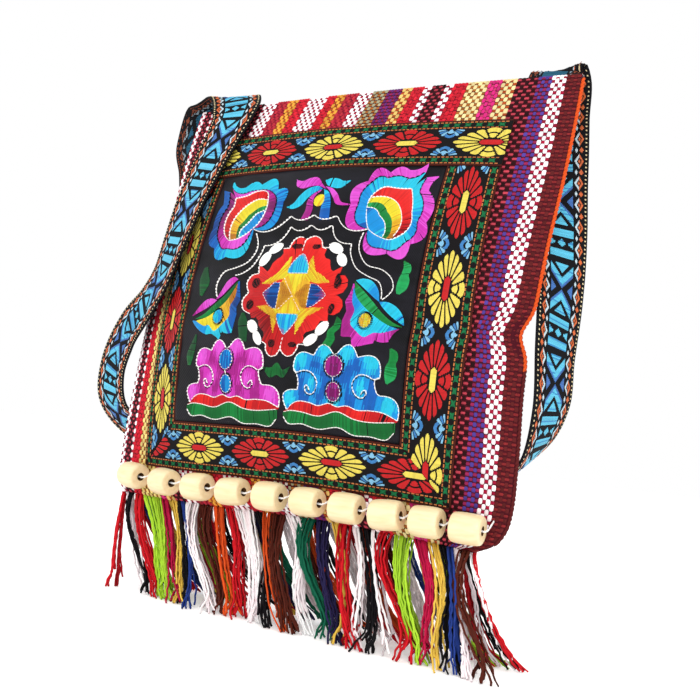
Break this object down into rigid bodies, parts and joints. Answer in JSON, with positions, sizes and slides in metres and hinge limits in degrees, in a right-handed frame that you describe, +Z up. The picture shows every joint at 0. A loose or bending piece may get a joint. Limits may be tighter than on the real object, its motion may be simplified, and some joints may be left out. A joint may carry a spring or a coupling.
{
  "type": "crossbody bag",
  "caption": "Soft striped woven crossbody bag, open at the mouth, with an embroidered panel in a ribbon frame, wooden beads and a fringe at the hem, and a woven strap.",
  "frame": {"origin": "on the floor under the middle of the whole bag's box", "axes": "+Z up, -Y out of the embroidered front, +X to the right of someone facing that front"},
  "size_m": [0.334, 0.0968, 0.336],
  "materials": {
    "woven_cloth": "matte striped handweave",
    "black_cloth": "satin",
    "flower_ribbon": "jacquard",
    "strap_band": "jacquard",
    "bead_wood": "smooth pale wood",
    "thread": "cotton",
    "fringe_yarn": "cotton yarn"
  },
  "bodies": {
    "root": {"pouch": "woven_cloth", "embroidery_panel": "black_cloth", "ribbon_top": "flower_ribbon", "ribbon_right": "flower_ribbon", "ribbon_bottom": "flower_ribbon", "ribbon_left": "flower_ribbon", "strap": "strap_band", "bead_01": "bead_wood", "bead_02": "bead_wood", "bead_03": "bead_wood", "bead_04": "bead_wood", "bead_05": "bead_wood", "bead_06": "bead_wood", "bead_07": "bead_wood", "bead_08": "bead_wood", "bead_09": "bead_wood", "bead_10": "bead_wood", "bead_thread": "thread", "fringe_front": "fringe_yarn", "fringe_back": "fringe_yarn"}
  },
  "joints": []
}
